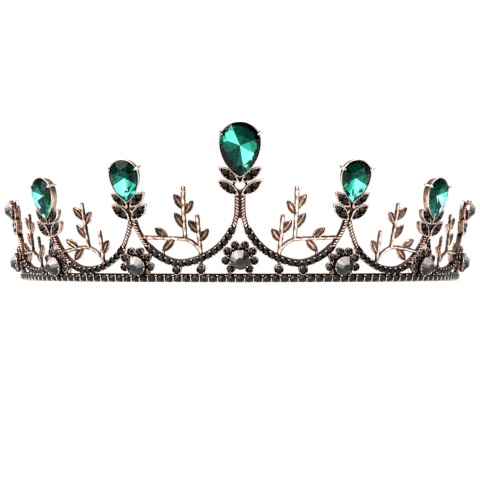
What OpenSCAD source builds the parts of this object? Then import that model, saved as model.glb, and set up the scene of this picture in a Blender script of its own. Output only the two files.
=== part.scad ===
// Bridal crown: an open band of small stones that carries seven peaks, five pear-shaped stones,
// nine round stones and six leafy twigs. All sizes are in millimetres.
// Places on the crown's wall are given as [s, h]: s is the distance along the band from its middle,
// and h is the height up the leaning wall from the band's lower edge.

/* [Band] */
// Half of the band's width at its ends, seen from above
half_width = 81; // [80:0.5:82]
// Depth of the band from its front to its ends, seen from above
band_depth = 65.5; // [65:0.5:66]
// Height of the band
band_h = 3; // [2.8:0.1:3.2]
// Thickness of the band's metal
band_t = 1.3; // [1.1:0.1:1.5]
// Distance between neighbouring stones in the band
band_pitch = 2.98; // [2.9:0.02:2.98]
// Outward lean of the wall at the front, in degrees
lean_front = 18; // [16:1:20]
// Outward lean of the wall at the ends, in degrees
lean_end = 6; // [4:1:8]

/* [Peaks] */
// Distance along the band from one peak to the next
peak_pitch = 34.4; // [34.2:0.1:34.6]
// Width of the pear stone in the middle
centre_pear_w = 13; // [12.5:0.5:13.5]
// Length of the pear stone in the middle
centre_pear_l = 18; // [17.5:0.5:18.5]
// Width of the other four pear stones
side_pear_w = 10; // [9.5:0.5:10.5]
// Length of the other four pear stones
side_pear_l = 14; // [13.5:0.5:14.5]
// Diameter of the large round stones
round_d = 6.5; // [6.2:0.1:6.6]
// Width of the swags that hang between the peaks
swag_w = 2.4; // [2.2:0.1:2.5]

/* [Hair loops] */
// Outer diameter of the rings
ring_d = 9.8; // [9.4:0.2:10]
// Diameter of the hole in the rings
ring_bore = 7; // [6.6:0.1:7.2]
// Width of the rings along their hole
ring_t = 1.4; // [1.2:0.1:1.6]
// Diameter of the wires
wire_d = 1.4; // [1.2:0.1:1.5]

/* [Hidden] */

// Columns: distance in peak pitches, height of the pear's tip, pear width, pear length, flower height.
// The end peak has no pear, and its tip height only places its leaves.
PEAKS = [
    [0, 37.5, centre_pear_w, centre_pear_l, 8.9],
    [1, 29.2, side_pear_w, side_pear_l, 6.6],
    [2, 23, side_pear_w, side_pear_l, 5.9],
    [3, 23.6, 0, 0, 6.8]];
// Height of the round stone on each end peak
top_round_h = 26.4;

// The swag in each bay, from the inner peak to the outer one. Columns: s, h.
SWAGS = [
    [[0.85, 30], [0.9, 26], [1.2, 22.7], [2.7, 18], [6.8, 12.4], [12.8, 8.5],
        [19.6, 6.8], [25.4, 8.6], [29.9, 12.4], [32.7, 17.4], [33.9, 22]],
    [[34.9, 22], [36.6, 17], [40.3, 10.6], [45, 7], [50, 4.8], [55.5, 4.2],
        [60.2, 5.6], [64.2, 9.2], [66.9, 13], [68.3, 15.9]],
    [[69.3, 15.9], [70.8, 11.4], [73.4, 6.8], [78, 4], [84, 3.6],
        [90.5, 4.8], [96, 8], [99.8, 12], [102.1, 15.6], [102.9, 17]]];

// Stretch of each swag that is set with stones. Columns: s from, s to.
STONE_RUNS = [[2.4, 30.2], [39.4, 62], [69.8, 98]];

// Stems of the twig in each bay. Columns: s and h of the foot, s and h of the top.
STEMS = [
    [[12.6, 9], [13.3, 23.8], [17.5, 15.2], [17.1, 33.6]],
    [[47.6, 6.4], [47.2, 18.4], [52.6, 12.2], [52.6, 28]],
    [[80.2, 4.4], [79.4, 16.2], [85.6, 10.4], [85, 24.2]]];
// Side branch of the twig in each bay, from the short stem to the next peak's swag. Columns: s, h.
BRANCHES = [
    [[13, 11.4], [14.6, 13.6], [17.5, 15.2], [23.5, 15.6], [31.2, 15.9]],
    [[47.6, 8.4], [49.6, 10.6], [52.6, 12.2], [58, 11.9], [64.8, 10.6]],
    [[80.1, 6.4], [82.4, 9], [85.6, 10.4], [90.5, 10.2], [98.2, 9.8]]];
// Leaves of the twig in each bay. Columns: s and h of the foot, s and h of the tip.
LEAVES = [
    [[17.3, 25.6, 20.4, 30.9], [17.4, 19, 20.6, 24.4], [17.2, 24.1, 14.2, 28.5], [13.2, 17.4, 16.3, 21.8],
        [12.9, 14.6, 9.8, 18.8], [23.3, 15.6, 27.3, 19.2], [21.2, 15.5, 25.3, 11]],
    [[52.6, 21.9, 56.5, 26.4], [52.6, 15.4, 56.3, 20.3], [52.6, 20.3, 49.4, 24.8],
        [47.5, 9.8, 44.3, 14.8], [57.6, 11.9, 62.3, 15], [55.4, 12, 59.7, 7.8]],
    [[85.2, 18.6, 88.6, 22.8], [85.4, 12.6, 88.8, 17.2], [85.2, 17.2, 82.4, 21.2],
        [79.8, 8.4, 77, 13], [90, 10.2, 94.2, 13.6], [88, 10.3, 92.2, 6.8]]];

// Short strut from the tip of a leaf down to the first swag. Columns: s, h.
LEAF_STRUT = [[25.2, 11.6], [25, 9]];

// Struts with one stone between the first swag and the band. Columns: s, h.
STRUTS = [[12.8, 4.75], [21, 4.6]];
strut_d = 3.5;
STRUT_BAR = [1.2, 4.8, 0.9];

// Stem of each end peak, from its flower up to its leaves. Columns: s, h.
END_STEM = [[3 * peak_pitch, 6], [3 * peak_pitch, 17]];
end_stem_w = 2;

// The leaf cups under the centre peak and under the others.
// Columns: foot below the stone's tip, slope in degrees, length, width.
CENTRE_CUPS = [[2.4, 37, 9.1, 3.6], [6.8, 36, 9.3, 3.6]];
SIDE_CUPS = [[2.4, 41, 8.2, 3.6], [6.9, 42, 8.6, 4]];
cup_t = 2;
cup_stone_d = 2.3;
cup_stones = [0.36, 0.68];
// How far the foot of a cup lies from the middle of its peak's stem
cup_shift = 0.2;
cup_stem_w = 1.8;
// The eye between the feet of the cups: width, height, depth below the stone's tip, width of its rim
CENTRE_EYE = [3.4, 2.6, 3.7, 0.6];
SIDE_EYE = [1.2, 1.5, 4.3, 1.1];

// Sizes that follow from the ones above
band_half = 115;
tab_l = 6;
tab_t = 1.6;
band_count = floor((band_half - 1.2) / band_pitch);
small_d = 2;
band_stone_d = 2.4;
small_stone_h = 0.8;
swag_t = 1.6;
swag_pitch = 2.35;
strut_t = 1.3;
flower_t = 1.7;
// Where the back of the castings lies, measured out from the middle of the wall
wall_back = -0.5;
stem_w = 1.3;
stem_t = 1;
leaf_w = 2.4;
leaf_t = 0.8;
bezel_t = 0.5;
// Radius of a claw's tip and of its foot, how far it stands off the stone, and where the two claws are
claw_r = 0.65;
claw_foot_r = 0.6;
claw_out = 0.8;
CLAW_ANGLES = [24, 156];
pear_girdle = 2.6;
round_girdle = 2.8;
flower_r = 4.8;
flower_cup_d = 3.2;
flower_plate_r = 4.4;
// Least distance from the middle of a flower to the middle of a stone of a swag
flower_clearance = 7;
leg_x = 3.1;
leg_w = 1.6;
gap = 0.08;
// Distance from the band's front to the middle of the crown's depth
centre_y = 41.4;
// Centre of each ring, from the band's front edge, and the turn of its hole from straight sideways
ring_x = 70.4;
ring_y = 99;
ring_turn = 30;
// The wire starts just behind the tab at the band's end and stops inside the ring's rim
rim_r = (ring_d + ring_bore) / 4;
wire_start = [half_width - tab_t / 2, band_depth - 0.1, band_h / 2];
wire_end = [ring_x + rim_r * sin(ring_turn), ring_y - rim_r * cos(ring_turn), ring_d / 2];
wire = wire_end - wire_start;

// Outline of the band seen from above, with t from 0 at the front to 90 at the ends
function oval(t) = [half_width * sin(t), band_depth * (1 - cos(t))];
ARC_STEPS = 90;
ARC = [for (i = 0, s = 0; i <= ARC_STEPS; s = s + norm(oval(i + 1) - oval(i)), i = i + 1) [s, i]];
function turn(s) = sign(s) * lookup(abs(s), ARC);
// The lean changes between these two distances along the band
LEAN_RUN = [30, 105];
function ease(k) = k * k * (3 - 2 * k);
function lean(s) = lean_front - (lean_front - lean_end)
    * ease(min(1, max(0, (abs(s) - LEAN_RUN[0]) / (LEAN_RUN[1] - LEAN_RUN[0]))));

// Unit vectors on the wall at s: along the band, up the wall, and out of the wall
function along(s) = let (t = turn(s), d = [half_width * cos(t), band_depth * sin(t), 0]) d / norm(d);
function outward(s) = [along(s).y, -along(s).x, 0];
function up_wall(s) = outward(s) * sin(lean(s)) + [0, 0, cos(lean(s))];
function off_wall(s) = outward(s) * cos(lean(s)) - [0, 0, sin(lean(s))];
function base_point(s) = let (p = oval(turn(s))) [p.x, p.y, 0];
function wall_point(s, h, n = 0) = base_point(s) + up_wall(s) * h + off_wall(s) * n;

// Places its children on the wall, with x along the band, y up the wall and z out of it
module on_wall(s, h, n = 0) {
    a = along(s);
    u = up_wall(s);
    o = off_wall(s);
    p = wall_point(s, h, n);
    multmatrix([[a.x, u.x, o.x, p.x], [a.y, u.y, o.y, p.y], [a.z, u.z, o.z, p.z]])
        children();
}

module both_sides() {
    children();
    mirror([1, 0, 0]) children();
}

// Moves the crown so that its footprint is centred on the origin
module centred() {
    translate([0, -centre_y, 0]) children();
}

// One closed skin through rings of points
module skin(rings) {
    n = len(rings[0]);
    m = len(rings);
    walls = [for (i = [0:m - 2], j = [0:n - 1])
        [i * n + j, (i + 1) * n + j, (i + 1) * n + (j + 1) % n, i * n + (j + 1) % n]];
    first = [for (j = [0:n - 1]) j];
    last = [for (j = [n - 1:-1:0]) (m - 1) * n + j];
    polyhedron([for (r = rings) each r], concat([first], walls, [last]));
}

// A smooth curve through a row of points, with the given number of steps in each span
function smooth_point(p, i, u) = let (
        a = p[max(0, i - 1)],
        b = p[i],
        c = p[i + 1],
        d = p[min(len(p) - 1, i + 2)])
    0.5 * (2 * b + (c - a) * u + (2 * a - 5 * b + 4 * c - d) * u * u
        + (3 * b - a - 3 * c + d) * u * u * u);
function smooth(p, steps) = concat(
    [for (i = [0:len(p) - 2], k = [0:steps - 1]) smooth_point(p, i, k / steps)],
    [p[len(p) - 1]]);

// Points at an even distance along a path
function lengths(p) = let (last = len(p) - 1)
    [for (i = 0, d = 0; i <= last; d = d + norm(p[min(i + 1, last)] - p[i]), i = i + 1) d];
function spaced(p, pitch) = let (d = lengths(p), total = d[len(d) - 1])
    [for (k = [0:floor(total / pitch)])
        [for (axis = [0, 1]) lookup(k * pitch, [for (i = [0:len(p) - 1]) [d[i], p[i][axis]]])]];

// A bar of width w and thickness t that follows a path on the wall
function path_side(p, i) = let (d = p[min(len(p) - 1, i + 1)] - p[max(0, i - 1)])
    [-d.y, d.x] / norm(d);
function bar_ring(p, side, w, t) = [for (c = [[1, 1], [-1, 1], [-1, -1], [1, -1]])
    let (q = p + side * (w / 2 * c.x)) wall_point(q.x, q.y, t / 2 * c.y)];
module bar(path, w, t) {
    skin([for (i = [0:len(path) - 1]) bar_ring(path[i], path_side(path, i), w, t)]);
}

// Pear outline with its tip at the origin: a half circle on two side arcs
function pear_outline(w, l, steps) = let (
        r = w / 2,
        c = l - r,
        k = (c * c - r * r) / w,
        side = [for (i = [1:steps - 1]) let (y = c * i / steps)
            [sqrt((r + k) * (r + k) - (c - y) * (c - y)) - k, y]])
    concat([[0, 0]], side,
        [for (i = [0:2 * steps]) [r * cos(90 * i / steps), c + r * sin(90 * i / steps)]],
        [for (i = [len(side) - 1:-1:0]) [-side[i].x, side[i].y]]);

// Pointed oval with its foot at the origin, along x
function lens(l, w, steps) = concat(
    [for (i = [0:steps]) [l * i / steps, -w / 2 * sin(180 * i / steps)]],
    [for (i = [steps - 1:-1:1]) [l * i / steps, w / 2 * sin(180 * i / steps)]]);

// Band of metal with a flat lower edge, thicker inside each end where a hair loop is soldered
function band_ring(s) = let (
        b = base_point(s),
        o = outward(s),
        in = -band_t / 2 - (abs(s) > band_half - tab_l ? tab_t : 0),
        out = band_t / 2,
        top = band_h * tan(lean(s)))
    [b + o * out, b + o * in, b + o * (in + top) + [0, 0, band_h], b + o * (out + top) + [0, 0, band_h]];
module band_metal() {
    steps = 46;
    skin([for (i = [0:steps]) band_ring(band_half * (2 * i / steps - 1))]);
}

module swag(bay) {
    bar(smooth(SWAGS[bay], 2), swag_w, swag_t);
}

function cups(row) = row[0] == 0 ? CENTRE_CUPS : SIDE_CUPS;

module eye(e, rim) {
    translate([0, -e[2]]) scale([e[0] / 2 + rim, e[1] / 2 + rim]) circle(r = 1, $fn = 10);
}

// Four leaf cups on a short stem with an eye in it, below the tip of a stone
module leaf_cups(row) {
    foot = cups(row)[1][0] + 1;
    e = row[0] == 0 ? CENTRE_EYE : SIDE_EYE;
    translate([0, row[1], wall_back]) linear_extrude(cup_t) {
        for (c = cups(row), side = [0, 1])
            mirror([side, 0]) translate([cup_shift, -c[0]]) rotate(c[1]) polygon(lens(c[2], c[3], 4));
        difference() {
            union() {
                translate([-cup_stem_w / 2, -foot]) square([cup_stem_w, foot + 0.2]);
                eye(e, e[3]);
            }
            eye(e, 0);
        }
    }
}

// Pear setting: a cup with a back plate and two claws, with the tip of its stone at the origin
module pear_setting(w, l) {
    translate([0, 0, wall_back]) linear_extrude(pear_girdle - wall_back)
        translate([0, -bezel_t]) polygon(pear_outline(w + 2 * bezel_t, l + 2 * bezel_t, 4));
    for (a = CLAW_ANGLES)
        translate([0, l - w / 2, 0]) rotate(a) translate([w / 2 + claw_out, 0, 0]) hull() {
            translate([-0.2, 0, 0.4]) cylinder(r = claw_foot_r, h = 1, $fn = 6);
            translate([0, 0, pear_girdle + 0.6]) sphere(r = claw_r, $fn = 6);
        }
}

// Raised cup for a large round stone
module round_setting() {
    translate([0, 0, wall_back])
        cylinder(r1 = round_d / 2 - 0.9, r2 = round_d / 2 + 0.2, h = round_girdle - wall_back, $fn = 10);
}

// Whether a small stone at [s, h] keeps clear of every flower
function clear_of_flowers(p) = min([for (row = PEAKS) norm(p - [row[0] * peak_pitch, row[4]])])
    > flower_clearance;

// Eight of nine places round a large round stone, less those that would sit on the band
module flower_places(h) {
    for (i = [1:8]) {
        a = -90 + 40 * i;
        if (h + flower_r * sin(a) > band_h + 1.3)
            translate([flower_r * cos(a), flower_r * sin(a), 0]) children();
    }
}

// Ring of small cups round a large round stone, with two legs down to the band
module flower(h) {
    translate([0, 0, wall_back]) linear_extrude(flower_t) {
        flower_places(h) circle(d = flower_cup_d, $fn = 6);
        circle(r = flower_plate_r, $fn = 9);
    }
    for (x = [-leg_x, leg_x])
        translate([x - leg_w / 2, band_h / 2 - h, -0.4]) cube([leg_w, 4, 1.2]);
    round_setting();
}

module peak(row) {
    on_wall(row[0] * peak_pitch, 0) {
        leaf_cups(row);
        if (row[2] > 0)
            translate([0, row[1], 0]) pear_setting(row[2], row[3]);
        else
            translate([0, top_round_h, 0]) top_setting();
    }
    on_wall(row[0] * peak_pitch, row[4]) flower(row[4]);
}

module top_setting() {
    round_setting();
    translate([0, 0, wall_back]) cylinder(r = round_d / 2 + 0.1, h = 1.2, $fn = 10);
}

module twig(bay) {
    for (k = [0, 2])
        bar([STEMS[bay][k], STEMS[bay][k + 1]], stem_w, stem_t);
    bar(smooth(BRANCHES[bay], 2), stem_w, stem_t);
    if (bay == 0)
        bar(LEAF_STRUT, stem_t, stem_t);
    for (v = LEAVES[bay])
        let (d = [v[2] - v[0], v[3] - v[1]])
            on_wall(v[0], v[1], -leaf_t / 2) rotate(atan2(d.y, d.x))
                linear_extrude(leaf_t) polygon(lens(norm(d), leaf_w, 3));
}

module strut(p) {
    on_wall(p.x, p.y, wall_back) {
        cylinder(d = strut_d, h = strut_t, $fn = 10);
        translate([-STRUT_BAR.x / 2, -STRUT_BAR.y / 2, 0.1]) cube(STRUT_BAR);
    }
}

// Room in front of the band for its row of stones
module stone_channel() {
    steps = 46;
    front = band_t / 2 + 0.02;
    far = 5;
    low = -1;
    high = band_h - 0.1;
    skin([for (i = [0:steps]) let (
            s = (band_half + 1) * (2 * i / steps - 1),
            b = base_point(s),
            o = outward(s),
            slope = tan(lean(s)))
        [b + o * far + [0, 0, low], b + o * (front + slope * low) + [0, 0, low],
            b + o * (front + slope * high) + [0, 0, high], b + o * far + [0, 0, high]]]);
}

module frame() {
    color("rosybrown") centred() {
        band_metal();
        difference() {
            union() {
                peak(PEAKS[0]);
                both_sides() for (bay = [0:2]) {
                    swag(bay);
                    twig(bay);
                    peak(PEAKS[bay + 1]);
                }
                both_sides() for (p = STRUTS) strut(p);
                both_sides() bar(END_STEM, end_stem_w, swag_t);
            }
            stone_channel();
        }
    }
}

// Ring with a true bore, on a straight wire that runs to the end of the band
module hair_loop() {
    color("lightsalmon") centred() {
        translate([ring_x, ring_y, ring_d / 2]) rotate([0, 0, ring_turn]) rotate([0, 90, 0])
            difference() {
                cylinder(d = ring_d, h = ring_t, center = true, $fn = 64);
                cylinder(d = ring_bore, h = ring_t + 1, center = true, $fn = 64);
            }
        translate(wire_start) rotate([0, acos(wire.z / norm(wire)), atan2(wire.y, wire.x)])
            cylinder(d = wire_d, h = norm(wire), $fn = 32);
    }
}

module pear_stone(row) {
    w = row[2];
    l = row[3];
    crown_h = 2.2;
    color("seagreen") centred() on_wall(row[0] * peak_pitch, row[1], pear_girdle + gap)
        skin([for (k = [[1, 0], [0.98, 0.5], [0.6, crown_h]])
            [for (p = pear_outline(w, l, 4)) [p.x * k[0], l * 0.55 + (p.y - l * 0.55) * k[0], k[1]]]]);
}

module round_stone(s, h) {
    color("dimgray") centred() on_wall(s, h, round_girdle + gap)
        cylinder(d1 = round_d, d2 = round_d * 0.4, h = 2.2, $fn = 48);
}

// Small faceted stone that sits on the metal behind it
module small_stone(d) {
    cylinder(d1 = d, d2 = d * 0.6, h = small_stone_h, $fn = 24);
}

module band_stones() {
    color("black") centred() for (i = [-band_count:band_count])
        on_wall(i * band_pitch, band_h / 2, band_t / 2 + gap) small_stone(band_stone_d);
}

module swag_stones() {
    color("black") centred() both_sides() for (bay = [0:2], q = spaced(smooth(SWAGS[bay], 4), swag_pitch))
        if (q.x > STONE_RUNS[bay][0] && q.x < STONE_RUNS[bay][1] && clear_of_flowers(q))
            on_wall(q.x, q.y, swag_t / 2 + gap) small_stone(small_d);
}

module flower_stones() {
    color("black") centred() for (row = PEAKS, side = row[0] > 0 ? [-1, 1] : [1])
        on_wall(side * row[0] * peak_pitch, row[4], wall_back + flower_t + gap)
            flower_places(row[4]) small_stone(small_d);
}

module leaf_stones() {
    color("black") centred() for (row = PEAKS, side = row[0] > 0 ? [-1, 1] : [1])
        on_wall(side * row[0] * peak_pitch, row[1], wall_back + cup_t + gap)
            for (c = cups(row), half = [0, 1], k = cup_stones)
                mirror([half, 0, 0]) translate([cup_shift, -c[0], 0]) rotate(c[1]) translate([c[2] * k, 0, 0])
                    small_stone(cup_stone_d);
}

module strut_stones() {
    color("black") centred() both_sides() for (p = STRUTS)
        on_wall(p.x, p.y, wall_back + strut_t + gap) small_stone(cup_stone_d);
}

frame();
mirror([1, 0, 0]) hair_loop();  // hair_loop_left
hair_loop();  // hair_loop_right
pear_stone(PEAKS[0]);  // pear_stone_centre
mirror([1, 0, 0]) pear_stone(PEAKS[1]);  // pear_stone_left
pear_stone(PEAKS[1]);  // pear_stone_right
mirror([1, 0, 0]) pear_stone(PEAKS[2]);  // pear_stone_outer_left
pear_stone(PEAKS[2]);  // pear_stone_outer_right
round_stone(0, PEAKS[0][4]);  // round_stone_centre
round_stone(-peak_pitch, PEAKS[1][4]);  // round_stone_left
round_stone(peak_pitch, PEAKS[1][4]);  // round_stone_right
round_stone(-2 * peak_pitch, PEAKS[2][4]);  // round_stone_outer_left
round_stone(2 * peak_pitch, PEAKS[2][4]);  // round_stone_outer_right
round_stone(-3 * peak_pitch, PEAKS[3][4]);  // round_stone_end_left
round_stone(3 * peak_pitch, PEAKS[3][4]);  // round_stone_end_right
round_stone(-3 * peak_pitch, top_round_h);  // top_stone_left
round_stone(3 * peak_pitch, top_round_h);  // top_stone_right
band_stones();
swag_stones();
flower_stones();
leaf_stones();
strut_stones();
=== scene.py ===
"""Bridal crown: the looks of every part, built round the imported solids.

Sizes are in millimetres until a mesh is made. A place on the crown's leaning wall is given as
s, the distance along the band from its middle, h, the height up the wall from the band's lower
edge, and n, the distance out from the middle of the wall.
"""
import math

import bpy
import numpy as np
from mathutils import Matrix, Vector


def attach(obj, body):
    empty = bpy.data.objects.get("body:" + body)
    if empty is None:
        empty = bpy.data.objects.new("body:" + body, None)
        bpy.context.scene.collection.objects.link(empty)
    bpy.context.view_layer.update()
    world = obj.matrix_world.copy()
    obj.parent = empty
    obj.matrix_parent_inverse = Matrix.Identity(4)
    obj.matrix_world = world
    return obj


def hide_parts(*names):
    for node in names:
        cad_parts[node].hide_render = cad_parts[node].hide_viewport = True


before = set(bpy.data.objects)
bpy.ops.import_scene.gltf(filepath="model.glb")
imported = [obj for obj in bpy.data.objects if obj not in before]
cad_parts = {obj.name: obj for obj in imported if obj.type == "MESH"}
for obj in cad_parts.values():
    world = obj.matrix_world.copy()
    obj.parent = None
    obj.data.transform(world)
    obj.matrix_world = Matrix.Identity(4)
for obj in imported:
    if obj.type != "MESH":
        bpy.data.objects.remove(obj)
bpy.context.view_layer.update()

MM = 0.001
UP = np.array([0.0, 0.0, 1.0])
FLIP = np.diag([-1.0, 1.0, 1.0, 1.0])

# The patina of the spots that are worn brightest; below zero, it also paints a near-white highlight on
# them
HIGHLIGHT_AND_WEAR = -0.7
# The castings' flat backs and the top of their bevel, out from the middle of the wall
WALL_BACK = -0.5
BACK_EDGE = -0.3

# The band, seen from above, is half an oval, whose front lies CENTRE_Y ahead of the crown's middle
HALF_WIDTH = 81.0
BAND_DEPTH = 65.5
CENTRE_Y = 41.4
BAND_H = 3.0
# Half of the band's length
BAND_HALF = 115.0
# The band's section, round from its lower back edge. Columns: out, up, patina, with a painted highlight
# along the lower rail
BAND_SECTION = [
    (-0.65, 0.2, 0.0), (-0.47, 0.0, 0.0), (0.62, 0.0, HIGHLIGHT_AND_WEAR), (0.78, 0.12, HIGHLIGHT_AND_WEAR), (0.78, 0.3, HIGHLIGHT_AND_WEAR),
    (0.7, 0.38, 0.5), (0.12, 0.42, 1.0), (0.12, 2.6, 1.0), (0.62, 2.64, 0.9), (0.7, 2.72, 0.7),
    (0.7, 2.9, 0.6), (0.6, 3.0, 0.7), (-0.47, 3.0, 0.5), (-0.65, 2.8, 0.0)]
# The band's stones, and how many there are on each side of the middle one
BAND_PITCH = 2.98
BAND_COUNT = 38
# The stretch at each end of the band that is thicker, and by how much
TAB_L = 6.0
TAB_T = 1.6
# The wall's lean in degrees, and the distances along the band between which it changes
LEAN_FRONT = 18.0
LEAN_END = 6.0
LEAN_CHANGE = (30.0, 105.0)

PEAK_PITCH = 34.4
# Peaks. Columns: name, distance in pitches, height of the stone's tip, pear width, pear length,
# flower height
PEAKS = [
    ("centre", 0, 37.5, 13.0, 18.0, 8.9),
    ("", 1, 29.2, 10.0, 14.0, 6.6),
    ("outer_", 2, 23.0, 10.0, 14.0, 5.9),
    ("end_", 3, 23.6, 0.0, 0.0, 6.8)]
# Height of the round stone at the top of an end peak
TOP_STONE_H = 26.4

BAYS = ["inner", "middle", "outer"]
# The swag in each bay, from the inner peak to the outer one. Columns: s, h
SWAGS = [
    [(0.85, 30), (0.9, 26), (1.2, 22.7), (2.7, 18), (6.8, 12.4), (12.8, 8.5),
     (19.6, 6.8), (25.4, 8.6), (29.9, 12.4), (32.7, 17.4), (33.9, 22)],
    [(34.9, 22), (36.6, 17), (40.3, 10.6), (45, 7), (50, 4.8), (55.5, 4.2),
     (60.2, 5.6), (64.2, 9.2), (66.9, 13), (68.3, 15.9)],
    [(69.3, 15.9), (70.8, 11.4), (73.4, 6.8), (78, 4), (84, 3.6),
     (90.5, 4.8), (96, 8), (99.8, 12), (102.1, 15.6), (102.9, 17)]]
# Stretch of each swag that is set with stones. Columns: s from, s to
STONE_RUNS = [(2.4, 30.2), (39.4, 62), (69.8, 98)]
SWAG_PITCH = 2.35
# Width of the swag's metal where it carries stones, and under the ropes
SWAG_W = 2.4
ROPE_BAR_W = 1.6
# The beads on the swag's rails: distance from its middle line, and half the gap in a pair
RAIL_AT = 0.86
BEAD_SHIFT = 0.17
# The ropes: radius, length of a bead, share of the radius between beads, distance out of the wall
ROPE_R = 0.56
ROPE_BEAD = 1.05
ROPE_WAIST = 0.62
ROPE_OUT = 0.62

# Twigs, bay by bay. Stems and branches are rows of s, h. Leaves: foot s, foot h, tip s, tip h
STEMS = [
    [[(12.6, 9), (13.0, 15), (13.3, 23.8)], [(17.5, 15.2), (17.5, 25), (17.1, 33.6)]],
    [[(47.6, 6.4), (47.3, 12), (47.2, 18.4)], [(52.6, 12.2), (52.7, 20), (52.6, 28)]],
    [[(80.2, 4.4), (79.7, 10), (79.4, 16.2)], [(85.6, 10.4), (85.4, 17), (85, 24.2)]]]
BRANCHES = [
    [(13, 11.4), (14.6, 13.6), (17.5, 15.2), (23.5, 15.6), (31.2, 15.9)],
    [(47.6, 8.4), (49.6, 10.6), (52.6, 12.2), (58, 11.9), (64.8, 10.6)],
    [(80.1, 6.4), (82.4, 9), (85.6, 10.4), (90.5, 10.2), (98.2, 9.8)]]
LEAVES = [
    [(17.3, 25.6, 20.4, 30.9), (17.4, 19, 20.6, 24.4), (17.2, 24.1, 14.2, 28.5),
     (13.2, 17.4, 16.3, 21.8), (12.9, 14.6, 9.8, 18.8), (23.3, 15.6, 27.3, 19.2),
     (21.2, 15.5, 25.3, 11)],
    [(52.6, 21.9, 56.5, 26.4), (52.6, 15.4, 56.3, 20.3), (52.6, 20.3, 49.4, 24.8),
     (47.5, 9.8, 44.3, 14.8), (57.6, 11.9, 62.3, 15), (55.4, 12, 59.7, 7.8)],
    [(85.2, 18.6, 88.6, 22.8), (85.4, 12.6, 88.8, 17.2), (85.2, 17.2, 82.4, 21.2),
     (79.8, 8.4, 77, 13), (90, 10.2, 94.2, 13.6), (88, 10.3, 92.2, 6.8)]]
# A short strut from a leaf's tip down to the inner swag. Columns: s, h
LEAF_STRUT = [(25.2, 11.6), (25.0, 9.0)]
LEAF_STRUT_R = 0.45
LEAF_W = 2.8
STEM_R = 0.72
BRANCH_R = 0.684
STEM_FLATNESS = 0.85
# The bud at the taller stem: its radius, and how far it is from the stem's top
BUD_R = 0.55
BUD_SHIFT = (0.6, -1.8)
# How much lighter the twigs on the right are painted than those on the left, as if lit more: this much
# less patina
RIGHT_TWIGS_LIT = 0.16

# Struts between the first swag and the band, each a cup on a link. Columns: s, h
STRUTS = [(12.8, 4.75), (21, 4.6)]
STRUT_D = 3.5
STRUT_LINK = 4.8

# Leaf cups under a peak. Columns: foot below the stone's tip, slope in degrees, length, width
CENTRE_CUPS = [(2.4, 37, 9.1, 3.6), (6.8, 36, 9.3, 3.6)]
SIDE_CUPS = [(2.4, 41, 8.2, 3.6), (6.9, 42, 8.6, 4.0)]
# The eye between the feet of the cups: width, height, depth below the stone's tip, width of its rim
CENTRE_EYE = (3.4, 3.0, 3.8, 0.6)
SIDE_EYE = (1.2, 1.5, 4.3, 1.1)
# How much the eye widens toward its top
EYE_TAPER = 0.35
# The cups' stem is two bars: how far below the stone's tip it ends, and the width of a bar
CENTRE_STEM_FOOT = 14.8
SIDE_STEM_FOOT = 8.1
CUP_STEM_W = 0.84
# How far the foot of a leaf cup is from the middle of its peak
CUP_SHIFT = 0.2
# The places of a leaf cup's stones, as shares of its length
CUP_STONES = [0.36, 0.68]
# A leaf cup's beads, as shares of its length and of CUP_BEADS_W times its width
CUP_BEADS = [
    (0.13, 0.0), (0.5, 0.74), (0.52, -0.74), (0.86, 0.0), (0.24, 0.5), (0.24, -0.5),
    (0.79, 0.42), (0.79, -0.42)]
CUP_BEADS_W = 0.41

# The large stones and their settings
ROUND_D = 6.5
BEZEL_T = 0.5
CLAW_ANGLES = (24, 156)
# Flowers: the circle that the small cups stand on, their width and their places in degrees
FLOWER_R = 4.8
FLOWER_CUP_D = 3.2
FLOWER_PLACES = [-90 + 40 * i for i in range(1, 9)]
# How far the cups' middles are above the band, and how far a swag's stones from a flower's middle
FLOWER_RISE = 1.3
FLOWER_CLEARANCE = 7.0
# A flower's two legs: distance from its middle, how far their feet spread, width, length
LEG_X = 3.1
LEG_SPREAD = 0.5
LEG_W = 1.5
LEG_L = 4.0

# Walls of the cups, from the back, over the rim, to the inside. Columns: inset, height, patina
LEAF_CUP = [
    (0.7, WALL_BACK, 0.45), (0.55, BACK_EDGE, 0.6), (0.25, 0.8, 0.65), (0.0, 1.45, 0.45),
    (0.03, 1.68, 0.2), (0.16, 1.86, 0.06), (0.36, 1.86, 0.06), (0.44, 1.7, 0.5), (0.5, 0.9, 1.0)]
PEAR_CUP = [
    (1.1, WALL_BACK, 0.5), (0.9, WALL_BACK + 0.15, 0.5), (0.5, 1.1, 0.4), (0.1, 2.2, 0.2),
    (0.02, 2.55, 0.0), (0.1, 2.7, 0.0), (0.24, 2.7, 0.05), (0.34, 2.55, 0.4), (0.44, 2.3, 1.0),
    (0.95, 1.1, 1.0), (1.4, -0.2, 1.0)]
ROUND_CUP = [
    (1.0, WALL_BACK, 0.4), (0.85, BACK_EDGE, 0.5), (0.5, 1.0, 0.75), (-0.02, 2.3, 0.45),
    (-0.1, 2.75, 0.1), (-0.02, 2.86, 0.0), (0.12, 2.8, 0.4), (0.3, 2.5, 1.0), (1.5, 0.6, 1.0)]
ROUND_PLATE = [(0.2, WALL_BACK, 0.2), (-0.05, BACK_EDGE, 0.1), (-0.05, 0.5, 0.1), (0.2, 0.7, 0.4)]
FLOWER_CUP = [
    (0.6, WALL_BACK, 0.8), (0.45, BACK_EDGE, 0.8), (0.2, 0.7, 0.8), (0.0, 1.3, 0.6),
    (0.07, 1.5, 0.1), (0.2, 1.5, 0.3), (0.3, 1.3, 1.0), (0.5, 0.8, 1.0)]
FLOWER_PLATE = [(0.7, WALL_BACK, 0.4), (0.45, BACK_EDGE, 0.5), (0.45, 0.5, 0.9), (0.7, 0.7, 1.0)]
STRUT_CUP = [
    (0.3, WALL_BACK, 0.8), (0.05, BACK_EDGE, 0.7), (0.0, 0.85, 0.4), (0.06, 1.0, 0.0),
    (0.2, 1.0, 0.0), (0.3, 0.8, 0.9), (0.55, 0.35, 1.0)]

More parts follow.
